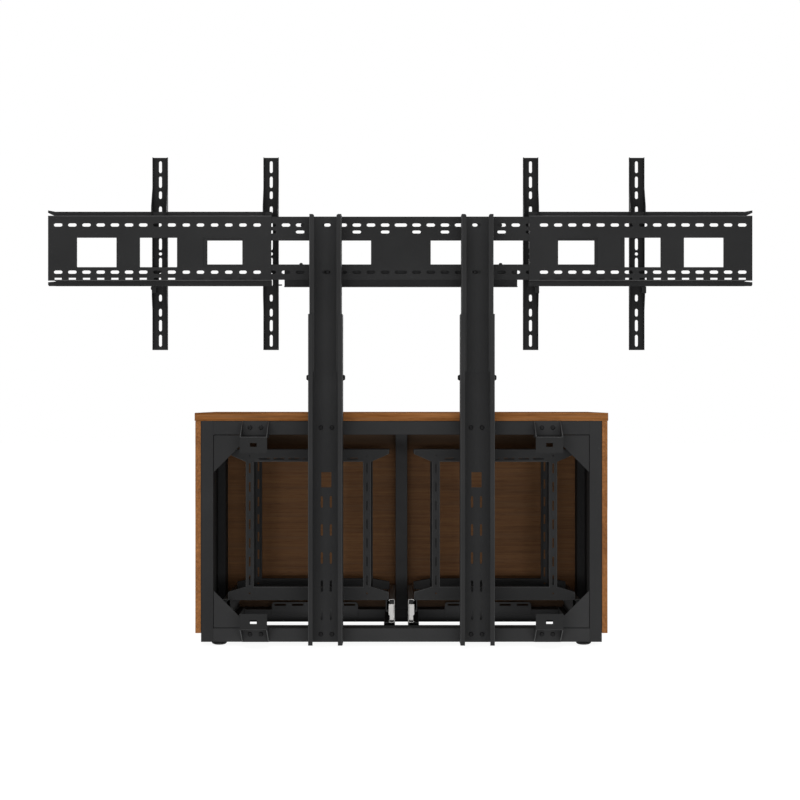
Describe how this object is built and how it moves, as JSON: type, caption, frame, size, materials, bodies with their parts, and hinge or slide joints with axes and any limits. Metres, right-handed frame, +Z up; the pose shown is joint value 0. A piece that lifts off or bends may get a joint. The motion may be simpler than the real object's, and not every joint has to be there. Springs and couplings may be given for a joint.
{
  "type": "av credenza",
  "caption": "AV credenza with a steel frame, wood top, sides and doors, pull-out racks, stand-off brackets, and a telescopic mast with a slotted rail for hanging display arms.",
  "frame": {"origin": "on the floor, under the centre of the overall box", "axes": "+X towards the left as seen from behind, +Y towards the rear, +Z up; the doors face -Y"},
  "size_m": [2.093, 0.782, 1.4515],
  "materials": {
    "black_steel": "satin powder coat",
    "wood": "satin laminate",
    "zinc": "zinc plated",
    "fastener": "black oxide",
    "foot": "matte"
  },
  "bodies": {
    "cabinet": {"top_panel": "wood", "side_panel_left": "wood", "side_panel_right": "wood", "door_pivot_low_left": "fastener", "door_pivot_low_right": "fastener", "door_pivot_high_left": "fastener", "door_pivot_high_right": "fastener", "rear_upright_left": "black_steel", "rear_upright_right": "black_steel", "front_upright_left": "black_steel", "front_upright_right": "black_steel", "rear_top_rail": "black_steel", "rear_bottom_rail": "black_steel", "front_top_rail": "black_steel", "front_bottom_rail": "black_steel", "front_centre_upright": "black_steel", "runner_rail_left_outer": "black_steel", "runner_rail_left_inner": "black_steel", "runner_rail_right_outer": "black_steel", "runner_rail_right_inner": "black_steel", "gusset_top_left": "black_steel", "gusset_top_right": "black_steel", "gusset_bottom_left": "black_steel", "gusset_bottom_right": "black_steel", "standoff_bracket_top_left": "black_steel", "standoff_bracket_top_right": "black_steel", "standoff_bracket_bottom_left": "black_steel", "standoff_bracket_bottom_right": "black_steel", "outer_post_left": "black_steel", "outer_post_right": "black_steel", "slide_fixed_left_outer": "zinc", "slide_fixed_left_inner": "zinc", "slide_fixed_right_outer": "zinc", "slide_fixed_right_inner": "zinc", "lacing_bar_left": "black_steel", "lacing_bar_right": "black_steel"},
    "mast": {"inner_post_left": "black_steel", "inner_post_right": "black_steel", "rail_centre_plate": "black_steel", "rail_end_plate_left": "black_steel", "rail_end_plate_right": "black_steel", "lower_cross_bar": "black_steel"},
    "arm_1": {"display_arm_1": "black_steel"},
    "arm_2": {"display_arm_2": "black_steel"},
    "arm_3": {"display_arm_3": "black_steel"},
    "arm_4": {"display_arm_4": "black_steel"},
    "door_left": {"door_left": "wood"},
    "door_right": {"door_right": "wood"},
    "rack_left": {"rack_portal_rear_left": "black_steel", "rack_portal_front_left": "black_steel", "slide_moving_left_outer": "black_steel", "slide_moving_left_inner": "black_steel"},
    "rack_right": {"rack_portal_rear_right": "black_steel", "rack_portal_front_right": "black_steel", "slide_moving_right_outer": "black_steel", "slide_moving_right_inner": "black_steel"},
    "foot_rear_left": {"foot_rear_left": "foot"},
    "foot_rear_right": {"foot_rear_right": "foot"},
    "foot_front_left": {"foot_front_left": "foot"},
    "foot_front_right": {"foot_front_right": "foot"}
  },
  "joints": [
    {"name": "mast_height", "type": "slide", "parent": "cabinet", "child": "mast", "axis": [0, 0, 1], "range_m": [0, 0.1]},
    {"name": "arm_1_slide", "type": "slide", "parent": "mast", "child": "arm_1", "axis": [1, 0, 0], "range_m": [-0.12, 0.26]},
    {"name": "arm_2_slide", "type": "slide", "parent": "mast", "child": "arm_2", "axis": [1, 0, 0], "range_m": [0, 0.145]},
    {"name": "arm_3_slide", "type": "slide", "parent": "mast", "child": "arm_3", "axis": [-1, 0, 0], "range_m": [0, 0.145]},
    {"name": "arm_4_slide", "type": "slide", "parent": "mast", "child": "arm_4", "axis": [-1, 0, 0], "range_m": [-0.12, 0.26]},
    {"name": "door_left_hinge", "type": "hinge", "parent": "cabinet", "child": "door_left", "pos_m": [0.605, -0.3805, 0.35], "axis": [0, 0, 1], "range_deg": [0, 130]},
    {"name": "door_right_hinge", "type": "hinge", "parent": "cabinet", "child": "door_right", "pos_m": [-0.605, -0.3805, 0.35], "axis": [0, 0, -1], "range_deg": [0, 130]},
    {"name": "rack_left_slide", "type": "slide", "parent": "cabinet", "child": "rack_left", "axis": [0, -1, 0], "range_m": [0, 0.4]},
    {"name": "rack_right_slide", "type": "slide", "parent": "cabinet", "child": "rack_right", "axis": [0, -1, 0], "range_m": [0, 0.4]},
    {"name": "foot_rear_left_screw", "type": "slide", "parent": "cabinet", "child": "foot_rear_left", "axis": [0, 0, -1], "range_m": [0, 0.015]},
    {"name": "foot_rear_right_screw", "type": "slide", "parent": "cabinet", "child": "foot_rear_right", "axis": [0, 0, -1], "range_m": [0, 0.015]},
    {"name": "foot_front_left_screw", "type": "slide", "parent": "cabinet", "child": "foot_front_left", "axis": [0, 0, -1], "range_m": [0, 0.015]},
    {"name": "foot_front_right_screw", "type": "slide", "parent": "cabinet", "child": "foot_front_right", "axis": [0, 0, -1], "range_m": [0, 0.015]}
  ],
  "couplings": [
    {"joint": "rack_left_slide", "follows": "door_left_hinge", "m_per_rad": 0.176},
    {"joint": "rack_right_slide", "follows": "door_right_hinge", "m_per_rad": 0.176}
  ]
}
